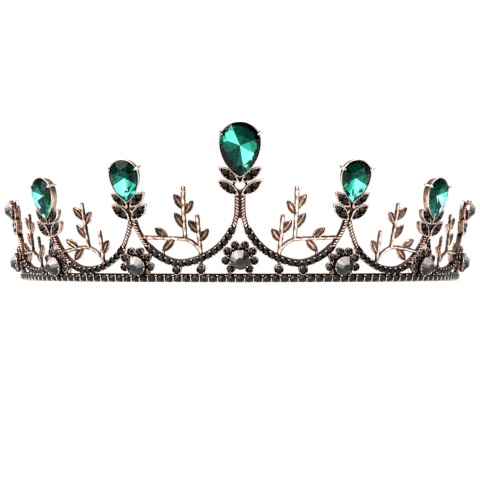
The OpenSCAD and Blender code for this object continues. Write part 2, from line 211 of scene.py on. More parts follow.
# Round stones: width, height of the crown, depth of the pavilion, share that the table takes
LARGE_STONE = (ROUND_D, 1.9, 2.0, 0.42)
BAND_STONE = (2.4, 0.62, 0.75, 0.5)
CUP_STONE = (2.3, 0.62, 0.7, 0.5)
STRUT_STONE = (2.3, 0.6, 0.6, 0.5)
SMALL_STONE = (2.0, 0.55, 0.6, 0.5)
# Pear stones: crown and middle as shares of the length, pavilion of the width, table of the outline
PEAR_CROWN = 0.12
PEAR_MIDDLE = 0.56
PEAR_PAVILION = 0.14
PEAR_TABLE = 0.55
# Where their facets meet, as shares of the crown and of the pavilion, and the girdle's thickness
STAR_HEIGHT = 0.6
LOWER_DEPTH = 0.4
GIRDLE_T = 0.25

# The stones' girdles, out from the middle of the wall
PEAR_GIRDLE = 2.72
ROUND_GIRDLE = 2.9
BAND_GIRDLE = 0.86
SWAG_GIRDLE = 0.98
FLOWER_GIRDLE = 1.36
CUP_GIRDLE = 1.62
STRUT_GIRDLE = 0.95
# The turns of the stones, in degrees, so that neighbours differ
ROUND_SPIN = 11
BAND_SPIN = 9
SWAG_SPIN = 8
FLOWER_SPIN = 13
CUP_SPIN = 17
# Reflections painted into the facets' tones. Columns: middle tone, how far it swings, number of light
# sectors, direction of the first in degrees, how much lighter the foot is
PEAR_LIGHTS = {
    "centre": (0.36, 0.78, 2, 140, 0.28),
    "": (0.1, 1.05, 1, -80, 0.0),
    "outer_": (0.45, 0.95, 1, -60, 0.0)}
ROUND_LIGHT = (0.4, 0.7, 1, 115, 0.0)
# How uneven the tones are from facet to facet: the height and the step of a wave
FACET_CHANGE = 0.25
FACET_STEP = 2.4
# The facets of a pear stone that reach its rim are deeper in colour
RIM_SCALE = 0.5
RIM_SHIFT = -0.15

# Hair loops: the flat ring and the wire
RING_D = 9.8
RING_BORE = 7.0
RING_T = 1.4
RING_CENTRE = np.array([70.4, 99.0 - CENTRE_Y, RING_D / 2])
RING_TURN = math.radians(30)
WIRE_R = 0.7

# The studio, in metres
FLOOR_R = 6.0
# Softboxes. Columns: name, place, width and height, brightness
SOFTBOXES = [
    ("key", (-0.5, -0.4, 0.44), (0.8, 0.45), 6.0),
    ("fill", (0.62, -0.35, 0.2), (0.15, 0.4), 5.0)]
LIT_SPOT = (0.0, -0.02, 0.025)
# The white that the camera sees behind the crown
BACKDROP = 1.0
# The camera's lens in millimetres, its place, and its tilt from straight down in degrees
CAMERA_LENS = 113.6
CAMERA_PLACE = (0.0, -0.55, 0.008)
CAMERA_TILT = 90.7

# The band's oval at each degree, and the distance along it there
TURNS = np.radians(np.arange(91))
OVAL = np.stack([HALF_WIDTH * np.sin(TURNS), BAND_DEPTH * (1 - np.cos(TURNS))], -1)
ARC = np.concatenate([[0.0], np.cumsum(np.linalg.norm(np.diff(OVAL, axis=0), axis=1))])


# The wall

def unit(v):
    return v / np.linalg.norm(v, axis=-1, keepdims=True)


def wall_frame(s):
    """The wall at s: its foot, the directions along, up and out of it, and its lean."""
    s = np.asarray(s, float)
    turn = np.sign(s) * np.interp(np.abs(s), ARC, TURNS)
    sin, cos, nil = np.sin(turn), np.cos(turn), np.zeros_like(turn)
    along = unit(np.stack([HALF_WIDTH * cos, BAND_DEPTH * sin, nil], -1))
    outward = np.stack([along[..., 1], -along[..., 0], nil], -1)
    first, last = LEAN_CHANGE
    k = np.clip((np.abs(s) - first) / (last - first), 0, 1)
    lean = np.radians(LEAN_FRONT - (LEAN_FRONT - LEAN_END) * k * k * (3 - 2 * k))[..., None]
    up = outward * np.sin(lean) + UP * np.cos(lean)
    off = outward * np.cos(lean) - UP * np.sin(lean)
    foot = np.stack([HALF_WIDTH * sin, BAND_DEPTH * (1 - cos) - CENTRE_Y, nil], -1)
    return foot, along, up, off, outward, lean


def to_wall(p):
    """Points given as s, h, n, moved to where they are on the crown."""
    foot, _, up, off, _, _ = wall_frame(p[..., 0])
    return foot + up * p[..., 1:2] + off * p[..., 2:3]


def on_wall(s, h, n=0.0, spin=0.0):
    """A place on the wall, turned by spin degrees: x is along the band, y up the wall, z out of it."""
    foot, along, up, off, _, _ = wall_frame(s)
    c, r = math.cos(math.radians(spin)), math.sin(math.radians(spin))
    place = np.eye(4)
    place[:3, 0] = along * c + up * r
    place[:3, 1] = up * c - along * r
    place[:3, 2] = off
    place[:3, 3] = foot + up * h + off * n
    return place


def moved(x, y, z=0.0, spin=0.0):
    """A shift and a turn about z, in degrees."""
    c, r = math.cos(math.radians(spin)), math.sin(math.radians(spin))
    return np.array([[c, -r, 0, x], [r, c, 0, y], [0, 0, 1, z], [0, 0, 0, 1.0]])


# Paths

def smooth(points, steps=6):
    """A smooth curve through a row of points."""
    p = np.array(points, float)
    p = np.concatenate([p[:1], p, p[-1:]])
    u = np.linspace(0, 1, steps, endpoint=False)[:, None]
    rows = []
    for a, b, c, d in zip(p, p[1:], p[2:], p[3:]):
        square, cube = 2 * a - 5 * b + 4 * c - d, 3 * b - a - 3 * c + d
        rows.append(0.5 * (2 * b + (c - a) * u + square * u**2 + cube * u**3))
    return np.concatenate(rows + [p[-1:]])


def lengths(path):
    return np.concatenate([[0.0], np.cumsum(np.linalg.norm(np.diff(path, axis=0), axis=1))])


def at_lengths(path, d):
    """The points of a path at the given distances along it."""
    run = lengths(path)
    return np.stack([np.interp(d, run, column) for column in path.T], -1)


def resampled(path, pitch):
    total = lengths(path)[-1]
    return at_lengths(path, np.linspace(0, total, max(2, round(total / pitch) + 1)))


def sides_of(path):
    """At each point of a path, the direction to its left."""
    d = unit(np.gradient(path, axis=0))
    return np.stack([-d[:, 1], d[:, 0]], -1)


# Parts: each is its points, its faces and how dark the patina and painted light make each point

def skin(rings, dark=0.0, closed=False):
    """A closed skin through rings of points, each counterclockwise seen from the next one."""
    rings = np.asarray(rings, float)
    m, n = rings.shape[:2]
    spans = m if closed else m - 1
    faces = []
    for i in range(spans):
        a, b = i * n, (i + 1) % m * n
        faces += [(a + j, a + (j + 1) % n, b + (j + 1) % n, b + j) for j in range(n)]
    if not closed:
        faces.append(tuple(range(n - 1, -1, -1)))
        faces.append(tuple(range((m - 1) * n, m * n)))
    return rings.reshape(-1, 3), faces, np.broadcast_to(dark, (m, n)).reshape(-1)


def circle(r, sides):
    a = np.linspace(0, 2 * math.pi, sides, endpoint=False)
    return np.stack([r * np.cos(a), r * np.sin(a)], -1)


def lathe(profile, sides, dark=0.0):
    """A solid of revolution about z. The profile gives radius and height, from the bottom."""
    ring = circle(1, sides)
    rings = [np.column_stack([ring * max(r, 0.01), np.full(sides, z)]) for r, z in profile]
    return skin(rings, np.reshape(np.broadcast_to(dark, len(profile)), (-1, 1)))


def bead(r, height):
    """A small post with a domed top, dark at its foot and worn bright on its dome, where a painted
    highlight sits.
    """
    profile = [(r, 0), (r, height - 0.75 * r), (0.9 * r, height - 0.4 * r),
               (0.62 * r, height - 0.12 * r), (0.2 * r, height)]
    return lathe(profile, 8, [0.9, 0.3, HIGHLIGHT_AND_WEAR, HIGHLIGHT_AND_WEAR, HIGHLIGHT_AND_WEAR])


def ball(r):
    a = np.linspace(-math.pi / 2, math.pi / 2, 7)
    return lathe(list(zip(r * np.cos(a), r * np.sin(a))), 12)


def wall_bar(path, section, dark=0.0, n=0.0):
    """A bar along a path on the wall. Its section gives the distance to the left and out of the wall."""
    side = sides_of(path)
    section = np.broadcast_to(section, (len(path),) + np.shape(section)[-2:])
    flat = path[:, None] + side[:, None] * section[..., :1]
    return skin(to_wall(np.concatenate([flat, section[..., 1:] + n], -1)), dark)


def rounded_box(w, low, high, r=0.2, steps=3):
    """Section of a bar: w wide, from low to high, with rounded corners."""
    a = np.radians(np.linspace(0, 90, steps))
    arc = np.stack([np.cos(a), np.sin(a)], -1) * r
    x, top, bottom = w / 2 - r, high - r, low + r
    return np.concatenate([
        arc + [x, top], arc[:, ::-1] * [-1, 1] + [-x, top],
        -arc + [-x, bottom], arc[:, ::-1] * [1, -1] + [x, bottom]])


def channel(w, low, floor, top, rail):
    """Section of a bar with a channel along its front, and its patina: a painted highlight on the lower
    rail only.
    """
    half = [(w / 2 - 0.18, low), (w / 2, low + 0.18), (w / 2, top - 0.1), (w / 2 - 0.08, top),
            (w / 2 - rail, top), (w / 2 - rail - 0.05, top - 0.12), (w / 2 - rail - 0.1, floor)]
    above = [0.8, 0.8, 0.8, 0.8, 0.9, 1.0, 1.0]
    below = [0.5, 0.3, 0.1, 0.35, 0.8, 1.0, 1.0]
    section = np.array(half + [(-x, y) for x, y in reversed(half)])
    return section, np.array(above + below[::-1])


def pear_outline(w, length, steps=10):
    """Pear outline with its tip at the origin: a half circle on two side arcs."""
    r = w / 2
    c = length - r
    k = (c * c - r * r) / w
    y = np.linspace(0, c, steps, endpoint=False)
    side = np.stack([np.sqrt((r + k)**2 - (c - y)**2) - k, y], -1)
    arc = circle(r, 4 * steps)[:2 * steps + 1] + [0, c]
    left = side[:0:-1] * [-1, 1]
    return np.concatenate([side, arc, left])


def lens(length, w, inset, steps=12):
    """Pointed oval along x from the origin, counterclockwise, made smaller all round by inset."""
    tip = inset * math.hypot(1, 2 * length / (math.pi * w))
    x = np.linspace(0, 1, steps + 1)
    low = np.stack([tip + (length - 2 * tip) * x, -(w / 2 - inset) * np.sin(math.pi * x) ** 0.85], -1)
    return np.concatenate([low, low[-2:0:-1] * [1, -1]])


def cup(outline, levels):
    """A cup whose wall follows outline(inset) at each level. Levels give inset, height and patina."""
    rings = []
    for inset, z, _ in levels:
        points = outline(inset)
        rings.append(np.column_stack([points, np.full(len(points), z)]))
    return skin(rings, np.array([[dark] for _, _, dark in levels]))


def round_cup(r, levels, sides):
    return cup(lambda inset: circle(r - inset, sides), levels)


class Shape:
    """A mesh in the making."""

    def __init__(self):
        self.points, self.dark, self.faces, self.slots, self.tones = [], [], [], [], []
        self.count = 0

    def add(self, part, place=None, slot=0, tone=0.5):
        points, faces, dark = part
        if place is not None:
            points = points @ place[:3, :3].T + place[:3, 3]
            if np.linalg.det(place[:3, :3]) < 0:
                faces = [f[::-1] for f in faces]
        self.faces += [[i + self.count for i in f] for f in faces]
        self.slots += list(slot) if np.ndim(slot) else [slot] * len(faces)
        self.tones += list(tone) if np.ndim(tone) else [tone] * len(faces)
        self.points.append(points)
        self.dark.append(np.broadcast_to(dark, len(points)))
        self.count += len(points)

    def add_shape(self, other, place=None):
        part = np.concatenate(other.points), other.faces, np.concatenate(other.dark)
        self.add(part, place, other.slots, other.tones)

    def placed(self, place):
        """A copy moved to a place."""
        other = Shape()
        other.add_shape(self, place)
        return other

    def mirrored(self):
        return self.placed(FLIP)

    def painted_lighter(self, amount):
        """A copy painted that much lighter, as if lit more: that much less patina."""
        other = self.placed(None)
        other.dark = [dark - amount for dark in other.dark]
        return other


# Stones

def round_cut(d, crown, pavilion, table):
    """Round stone with its girdle at z = 0: an octagonal table in eight wide and eight narrow facets."""
    girdle = np.radians([45 * k + a for k in range(8) for a in (11.25, 33.75)])
    rim = np.stack([np.cos(girdle), np.sin(girdle)], -1) * d / 2
    top = circle(d / 2 * table, 8)
    edge = 0.03 * d
    points = np.concatenate([
        np.column_stack([top, np.full(8, crown)]), np.column_stack([rim, np.zeros(16)]),
        np.column_stack([rim, np.full(16, -edge)]), [[0, 0, -pavilion]]])
    first, culet = 8, 40
    faces = [tuple(range(first))]
    for k in range(8):
        a, b, last = first + 2 * k, first + 2 * k + 1, first + (2 * k - 1) % 16
        faces += [(k, a, b, (k + 1) % 8), (k, last, a)]
    for k in range(16):
        a, b = first + k, first + (k + 1) % 16
        faces += [(a, a + 16, b + 16, b), (b + 16, a + 16, culet)]
    return points, faces, np.zeros(len(points))


def on_planes(inner, outer, across, z):
    """Points at height z where neighbouring planes meet, each through an inner and an outer point."""
    normal = np.cross(outer - inner, across)
    level = np.sum(normal * inner, -1)
    after = np.roll(np.arange(len(inner)), -1)
    rows = np.stack([normal, normal[after], np.broadcast_to(UP, normal.shape)], 1)
    values = np.stack([level, level[after], np.full(len(inner), z)], -1)
    return np.linalg.solve(rows, values[..., None])[..., 0]


def pear_cut(w, length, light):
    """Pear stone with its girdle at z = 0.

    Returns its part, the material slot of each face, 0 in front and 1 behind, and the faces' tones,
    which hold painted reflections.
    """
    crown, pavilion = PEAR_CROWN * length, PEAR_PAVILION * w
    outline = pear_outline(w, length)
    loop = np.concatenate([outline, outline[:1]])
    total = lengths(loop)[-1]
    rim = at_lengths(loop, np.arange(16) * total / 16)
    middle = np.array([0, length * PEAR_MIDDLE])
    girdle = np.column_stack([rim, np.zeros(16)])
    mains = girdle[::2]
    top = np.column_stack([middle + (rim[::2] - middle) * PEAR_TABLE, np.full(8, crown)])
    across = np.roll(top, -1, 0) - np.roll(top, 1, 0)
    stars = on_planes(top, mains, across, crown * STAR_HEIGHT)
    culet = np.broadcast_to([middle[0], middle[1], -pavilion], mains.shape)
    across = np.roll(girdle, -1, 0)[::2] - np.roll(girdle, 1, 0)[::2]
    lower = on_planes(culet, mains, across, -pavilion * LOWER_DEPTH)
    below = girdle - UP * GIRDLE_T
    points = np.concatenate([top, stars, girdle, below, lower, culet[:1]])
    # The first point of the table, stars, girdle, its lower edge and the lower facets, and the culet
    t, m, g, b, p, c = 0, 8, 16, 32, 48, 56
    front, back = [tuple(range(8))], []
    for k in range(8):
        j, last, near, far = (k + 1) % 8, (k - 1) % 8, 2 * k, (2 * k + 2) % 16
        front += [(t + k, m + k, t + j), (t + k, m + last, g + near, m + k),
                  (m + k, g + near, g + near + 1), (m + k, g + near + 1, g + far)]
        back += [(c, p + k, b + near, p + last), (p + k, b + near + 1, b + near),
                 (p + k, b + far, b + near + 1)]
    front += [(g + i, b + i, b + (i + 1) % 16, g + (i + 1) % 16) for i in range(16)]
    faces = front + back
    part = points, faces, np.zeros(len(points))
    tones = facet_tones(points, faces, middle, *light)
    for k, face in enumerate(front):
        if max(face) >= g:
            tones[k] = RIM_SCALE * tones[k] + RIM_SHIFT
    return part, [0] * len(front) + [1] * len(back), tones


def facet_tones(points, faces, middle, base, swing, sectors, direction, foot):
    """How light each facet is, by its direction from the stone's middle: painted reflections."""
    tones = []
    for k, face in enumerate(faces):
        x, y = points[list(face)].mean(0)[:2] - middle
        # The table and the culet lie in the middle and have no direction
        reach = min(1, 10 * math.hypot(x, y))
        angle = math.atan2(y, x)
        sector = swing * math.cos(sectors * (angle - math.radians(direction)))
        change = FACET_CHANGE * math.sin(FACET_STEP * k)
        tones.append(base + reach * (sector + change - foot * math.sin(angle)))
    return tones


# Materials

def add_node(tree, kind, values=None, **settings):
    """Adds a shader node, applies its settings, and sets or links its inputs."""
    made = tree.nodes.new("ShaderNode" + kind)
    for key, value in settings.items():
        setattr(made, key, value)
    for key, value in (values or {}).items():
        if isinstance(value, bpy.types.NodeSocket):
            tree.links.new(value, made.inputs[key])
        else:
            made.inputs[key].default_value = value
    return made


def maths(tree, operation, a, b, clamp=False):
    return add_node(tree, "Math", {0: a, 1: b}, operation=operation, use_clamp=clamp).outputs[0]


def ramp(tree, factor, stops):
    """A colour ramp. Each stop is a position and a colour."""
    made = add_node(tree, "ValToRGB", {0: factor})
    elements = made.color_ramp.elements
    while len(elements) < len(stops):
        elements.new(0.5)
    for element, (position, colour) in zip(elements, stops):
        element.position = position
        element.color = (*colour, 1)
    return made.outputs[0]


def noise(tree, scale, detail=3.0):
    where = add_node(tree, "TexCoord").outputs["Object"]
    return add_node(tree, "TexNoise", {"Vector": where, "Scale": scale, "Detail": detail}).outputs["Fac"]


def stretched(tree, value, low, high, start=0.0, end=1.0):
    """A value from start to end mapped to low to high."""
    sockets = {"Value": value, "From Min": start, "From Max": end, "To Min": low, "To Max": high}
    return add_node(tree, "MapRange", sockets).outputs[0]


def cloudy_tone(tree, scale, spread, detail=3.0):
    """The tone of each facet, with its painted reflections, made a little cloudy."""
    tone = add_node(tree, "Attribute", attribute_name="tone").outputs["Fac"]
    clouds = stretched(tree, noise(tree, scale, detail), -spread, spread)
    return maths(tree, "ADD", tone, clouds, clamp=True)


def new_material(name, **sockets):
    material = bpy.data.materials.new(name)
    material.use_nodes = True
    tree = material.node_tree
    shader = tree.nodes["Principled BSDF"]
    for key, value in sockets.items():
        shader.inputs[key.replace("_", " ")].default_value = value
    return material, tree, shader


def set_surface(tree, shader, colour, rough):
    tree.links.new(colour, shader.inputs["Base Color"])
    tree.links.new(rough, shader.inputs["Roughness"])


def add_bump(tree, shader, height, strength, distance):
    bump = add_node(tree, "Bump", {"Height": height, "Strength": strength, "Distance": distance})
    tree.links.new(bump.outputs[0], shader.inputs["Normal"])


def metal_with_patina_and_light():
    """Rose-gold plating: painted highlights on the high spots, and patina with painted shade in the
    recesses, nearly black.
    """
    material, tree, shader = new_material("rose_gold_patina_and_painted_light", Metallic=1.0)
    patina_and_painted_light = add_node(tree, "Attribute", attribute_name="patina_and_painted_light").outputs["Fac"]
    # Occlusion darkens the recesses: partly the casting's patina in its hollows, partly painted shade
    # where parts lie close together.
    cover = add_node(tree, "AmbientOcclusion", {"Distance": 1.1 * MM}, samples=6).outputs["AO"]
    hidden = maths(tree, "MULTIPLY", maths(tree, "SUBTRACT", 0.92, cover), 1.05)
    shade = maths(tree, "ADD", maths(tree, "MULTIPLY", patina_and_painted_light, 0.75), hidden)
    blotches = maths(tree, "ADD", noise(tree, 420.0), noise(tree, 1400.0))
    uneven = maths(tree, "MULTIPLY", maths(tree, "SUBTRACT", blotches, 1.0), 0.75)
    shade = maths(tree, "ADD", maths(tree, "ADD", shade, uneven), 0.2, clamp=True)
    # The first stop, near white, is a painted highlight; the others run from the rose plating through
    # patina brown to black.
    colour = ramp(tree, shade, [
        (0.0, (1.0, 0.9, 0.85)), (0.2, (0.86, 0.62, 0.5)), (0.4, (0.52, 0.33, 0.235)),
        (0.64, (0.135, 0.068, 0.042)), (0.92, (0.014, 0.007, 0.005))])
    grain = noise(tree, 2600.0)
    rough = maths(tree, "ADD", stretched(tree, shade, 0.14, 0.42), maths(tree, "MULTIPLY", grain, 0.12))
    set_surface(tree, shader, colour, rough)
    add_bump(tree, shader, grain, strength=0.25, distance=0.05 * MM)
    return material


def wire_metal():
    """Polished rose-gold plating, a little cloudy with wear."""
    material, tree, shader = new_material("rose_gold_polished", Metallic=1.0)
    colour = ramp(tree, noise(tree, 300.0), [
        (0.3, (0.62, 0.36, 0.26)), (0.55, (0.86, 0.58, 0.45)), (0.8, (0.95, 0.72, 0.6))])
    grain = noise(tree, 3000.0)
    set_surface(tree, shader, colour, stretched(tree, grain, 0.12, 0.3))
    add_bump(tree, shader, grain, strength=0.15, distance=0.04 * MM)
    return material


def crystal(name, deep, middle, light, ior):
    """Opaque faceted crystal with a hard mirror shine, in its deep, middle and light colours; the light
    colour paints reflections on the facets that face the light.
    """
    material, tree, shader = new_material(name, IOR=ior)
    shade = cloudy_tone(tree, 350.0, 0.15)
    colour = ramp(tree, shade, [(0.15, deep), (0.55, middle), (0.95, light)])
    set_surface(tree, shader, colour, stretched(tree, noise(tree, 1500.0), 0.02, 0.07))
    return material


def green_glass():
    """The clear green front of the pear stones, paler on the facets whose tones paint reflections."""
    material, tree, shader = new_material("emerald_glass", Transmission_Weight=1.0, IOR=1.22)
    shade = cloudy_tone(tree, 120.0, 0.1, detail=1.0)
    colour = ramp(tree, shade, [
        (0.0, (0.01, 0.3, 0.2)), (0.25, (0.12, 0.72, 0.54)), (0.9, (0.8, 1.0, 0.97))])
    set_surface(tree, shader, colour, stretched(tree, noise(tree, 900.0), 0.0, 0.01))
    return material


def green_foil():
    """The mirror-like green backing of the pear stones, with dark and bright reflections painted from
    the facets' tones.
    """
    material, tree, shader = new_material("emerald_foil", Metallic=1.0)
    shade = cloudy_tone(tree, 200.0, 0.1)
    colour = ramp(tree, shade, [
        (0.1, (0.0, 0.05, 0.037)), (0.45, (0.008, 0.22, 0.165)), (0.7, (0.06, 0.6, 0.47)),
        (0.95, (0.42, 1.0, 0.93))])
    set_surface(tree, shader, colour, stretched(tree, noise(tree, 1200.0), 0.02, 0.06))
    return material


def floor_material():
    """White acrylic with a little light from below."""
    material, tree, shader = new_material(
        "pale_floor", Emission_Color=(1, 1, 1, 1), Emission_Strength=0.62)
    colour = ramp(tree, noise(tree, 6.0), [(0.3, (0.48, 0.48, 0.48)), (0.7, (0.52, 0.52, 0.52))])
    set_surface(tree, shader, colour, stretched(tree, noise(tree, 40.0), 0.55, 0.7))
    return material


METAL = metal_with_patina_and_light()
WIRE = wire_metal()
DARK_CRYSTAL = crystal(
    "hematite_crystal", (0.005, 0.004, 0.003), (0.015, 0.013, 0.012), (0.48, 0.44, 0.43), 1.45)
BLACK_CRYSTAL = crystal(
    "jet_crystal", (0.001, 0.0, 0.0), (0.008, 0.005, 0.004), (0.06, 0.055, 0.045), 1.36)
GLASS = green_glass()
FOIL = green_foil()


# Making the pieces

def add_object(name, data):
    made = bpy.data.objects.new(name, data)
    bpy.context.scene.collection.objects.link(made)
    return made


def make_piece(name, shape, nodes, materials, crease=38.0):
    """Turns a shape into a piece of the crown. Without a crease angle its faces stay flat."""
    mesh = bpy.data.meshes.new(name)
    mesh.from_pydata(np.concatenate(shape.points) * MM, [], shape.faces)
    patina_and_painted_light = mesh.attributes.new("patina_and_painted_light", "FLOAT", "POINT")
    patina_and_painted_light.data.foreach_set("value", np.concatenate(shape.dark).astype(np.float32))
    for material in materials:
        mesh.materials.append(material)
    mesh.polygons.foreach_set("material_index", shape.slots)
    tone = mesh.attributes.new("tone", "FLOAT", "FACE")
    tone.data.foreach_set("value", np.array(shape.tones, np.float32))
    mesh.polygons.foreach_set("use_smooth", [bool(crease)] * len(shape.faces))
    if crease:
        mesh.set_sharp_from_angle(angle=math.radians(crease))
    mesh.validate()
    piece = add_object(name, mesh)
    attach(piece, "root")
    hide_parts(*nodes)


def metal_piece(name, shape):
    make_piece(name, shape, ["frame"], [METAL])


def metal_pair(name, shape, lighter_by=0.0):
    """A right and a left copy. The right one can be painted lighter, as if lit more."""
    metal_piece(name + "_right", shape.painted_lighter(lighter_by))
    metal_piece(name + "_left", shape.mirrored())


def gem_piece(name, shape, node, materials=(BLACK_CRYSTAL,)):
    make_piece(name, shape, [node], materials, crease=0)


def dark_gem_piece(name, shape, node):
    gem_piece(name, shape, node, (DARK_CRYSTAL,))


def add_gem(shape, gem, place):
    """Adds a round stone whose facets differ in tone, with painted reflections."""
    shape.add(gem, place, tone=facet_tones(gem[0], gem[1], np.zeros(2), *ROUND_LIGHT))


def large_gem(s, h):
    """A large round stone at its place on the wall."""
    shape = Shape()
    add_gem(shape, round_cut(*LARGE_STONE), on_wall(s, h, ROUND_GIRDLE, ROUND_SPIN))
    return shape


def peak_sides(name):
    """The full names of a peak's copies, each with how it is placed."""
    if name == "centre":
        return [("centre", None)]
    return [(name + "right", None), (name + "left", FLIP)]


# The band

def band_points(s, x, z):
    """Points of the band: x is measured straight outward and z straight up, on its leaning wall."""
    foot, _, _, _, outward, lean = wall_frame(s)
    return foot + outward * (x[..., None] + z[..., None] * np.tan(lean)) + UP * z[..., None]


def band_strip():
    """The band's metal: a polished back, a rail along each edge with a painted highlight on the lower
    one, and a dark channel for the stones.
    """
    x, z, dark = np.array(BAND_SECTION).T
    s = np.linspace(-BAND_HALF, BAND_HALF, 281)
    step = 0.4
    at_tab = np.clip((np.abs(s) - (BAND_HALF - TAB_L)) / step, 0, 1)[:, None]
    x = x - np.where(x < 0, TAB_T, 0) * at_tab
    shape = Shape()
    shape.add(skin(band_points(np.repeat(s[:, None], len(z), 1), x, np.broadcast_to(z, x.shape)), dark))
    metal_piece("band_strip", shape)


def band_place(s, x, z):
    """A place on the band's front with x along it, y up and z out of it."""
    place = on_wall(s, 0)
    place[:3, 3] = band_points(np.array(float(s)), np.array(float(x)), np.array(float(z)))
    return place


def band_prongs():
    """Between neighbouring stones: a thin wall, an upright prong below and a pair of beads above."""
    shape = Shape()
    corners = [(1, -1), (1, 1), (-1, 1), (-1, -1)]
    levels = [(0.2, 1.2, 0.0), (0.2, 1.2, 0.55), (0.11, 1.15, 0.66)]
    wall = skin([[(x * w, y * h, z) for x, y in corners] for w, h, z in levels], [[1.0], [0.9], [0.7]])
    # The prong's tip gets a painted highlight, half again as strong as on the beads.
    prong = lathe([(0.21, 0), (0.21, 0.95), (0.17, 1.12), (0.08, 1.2)], 10, [0.5] + [1.5 * HIGHLIGHT_AND_WEAR] * 3)
    tall = np.diag([1.0, 4.6, 1.0, 1.0])
    top_bead = bead(0.2, 1.25)
    for i in range(-BAND_COUNT, BAND_COUNT + 2):
        s = (i - 0.5) * BAND_PITCH
        shape.add(wall, band_place(s, 0.1, BAND_H / 2))
        shape.add(prong, band_place(s, 0.05, 1.2) @ tall)
        for side in (-0.2, 0.2):
            shape.add(top_bead, band_place(s + side, 0.05, 2.6))
    metal_piece("band_prongs", shape)


def band_gems():
    shape = Shape()
    gem = round_cut(*BAND_STONE)
    for i in range(-BAND_COUNT, BAND_COUNT + 1):
        add_gem(shape, gem, on_wall(i * BAND_PITCH, BAND_H / 2, BAND_GIRDLE, BAND_SPIN * (i % 5)))
    gem_piece("band_gems", shape, "band_stones")


# Swags

def swag_path(bay):
    return smooth(SWAGS[bay], 4)


def clear_of_flowers(p):
    return all(math.dist(p, (row[1] * PEAK_PITCH, row[5])) > FLOWER_CLEARANCE for row in PEAKS)


def swag_stops(bay):
    """Distances along a swag's path at which its stones sit."""
    path = swag_path(bay)
    all_stops = np.arange(0, lengths(path)[-1], SWAG_PITCH)
    low, high = STONE_RUNS[bay]
    stops = []
    for d, p in zip(all_stops, at_lengths(path, all_stops)):
        if low < p[0] < high and clear_of_flowers(p):
            stops.append(d)
    return stops


def swag_bar(bay):
    """The swag's metal: a wide channel where it carries stones, and a narrow one under the ropes."""
    path = resampled(swag_path(bay), 0.5)
    run = lengths(path)
    first, last = np.interp(STONE_RUNS[bay], path[:, 0], run)
    # The bar changes its width a little outside its outermost stones
    past, change = 1.2, 1.6
    sections = []
    for k in np.clip(np.minimum(run - first + past, last - run + past) / change, 0, 1):
        w = ROPE_BAR_W + (SWAG_W - ROPE_BAR_W) * k
        section, dark = channel(w, low=-0.78, floor=0.3, top=0.5 + 0.45 * k, rail=0.2)
        sections.append(section)
    return wall_bar(path, np.array(sections), dark)


def rope(path):
    """Two twisted strands, whose turns show as slanting beads."""
    path = resampled(path, 0.12)
    twist = math.pi * lengths(path) / ROPE_BEAD
    a = np.linspace(0, 2 * math.pi, 14, endpoint=False)
    crest = np.abs(np.cos(a[None] - twist[:, None]))
    radius = ROPE_R * (ROPE_WAIST + (1 - ROPE_WAIST) * crest)
    section = radius[..., None] * np.stack([np.cos(a), np.sin(a)], -1)
    return wall_bar(path, section, 0.9 - crest**2, ROPE_OUT)


def rope_stretches(bay):
    """The parts of a swag's path before and after its stones."""
    path = resampled(swag_path(bay), 0.4)
    run = lengths(path)
    stops = swag_stops(bay)
    gap = 1.1
    before, after = path[run < stops[0] - gap], path[run > stops[-1] + gap]
    return [part for part in (before, after) if len(part) > 3]


def swags():
    """A swag for each bay, with its stones and ropes."""
    gems = Shape()
    gem = round_cut(*SMALL_STONE)
    for bay, name in enumerate(BAYS):
        shape = Shape()
        shape.add(swag_bar(bay))
        for part in rope_stretches(bay):
            shape.add(rope(part))
        path = swag_path(bay)
        stops = swag_stops(bay)
        for d, p in zip(stops, at_lengths(path, stops)):
            add_gem(gems, gem, on_wall(*p, SWAG_GIRDLE, SWAG_SPIN * d))
        add_swag_prongs(shape, path, stops)
        metal_pair("swag_" + name, shape)
    gems.add_shape(gems.mirrored())
    gem_piece("swag_gems", gems, "swag_stones")


def add_swag_prongs(shape, path, stops):
    """Two pairs of beads between neighbouring stones, one on each rail."""
    post = bead(0.19, 1.25)
    fine = resampled(path, 0.2)
    run, left = lengths(fine), sides_of(fine)
    marks = sorted({round(d + half * SWAG_PITCH / 2, 3) for d in stops for half in (-1, 1)})
    for d in marks:
        p, side = at_lengths(fine, d), np.array([np.interp(d, run, column) for column in left.T])
        ahead = np.array([side[1], -side[0]])
        for across in (-RAIL_AT, RAIL_AT):
            for shift in (-BEAD_SHIFT, BEAD_SHIFT):
                q = p + side * across + ahead * shift
                shape.add(post, on_wall(*q, 0.2))


# Settings

def leaf_cup(length, w):
    """A pointed cup with a thin rim and its beads."""
    shape = Shape()
    shape.add(cup(lambda inset: lens(length, w, inset), LEAF_CUP))
    for x, y in CUP_BEADS:
        shape.add(bead(0.17, 1.25), moved(x * length, y * CUP_BEADS_W * w, 0.6))
    return shape


def eye_ring(width, height, depth, rim):
    """A bar round the eye between the cups' feet, which is wider above and narrower below."""
    section = rounded_box(rim, WALL_BACK, high=1.3, r=0.22)
    radii = np.array([width, height])[:, None] / 2 + rim / 2 - section[:, 0]
    rings = []
    for x, y in circle(1, 28):
        wide = x * (1 + EYE_TAPER * y)
        rings.append(np.column_stack([wide * radii[0], y * radii[1] - depth, section[:, 1]]))
    return skin(rings, 0.8, closed=True)


def upright_bar(section, foot, top, dark):
    """A bar from foot to top, which are points x, y. Its section gives x and z."""
    return skin([[(x + px, y, z) for px, z in section] for x, y in (top, foot)], dark)


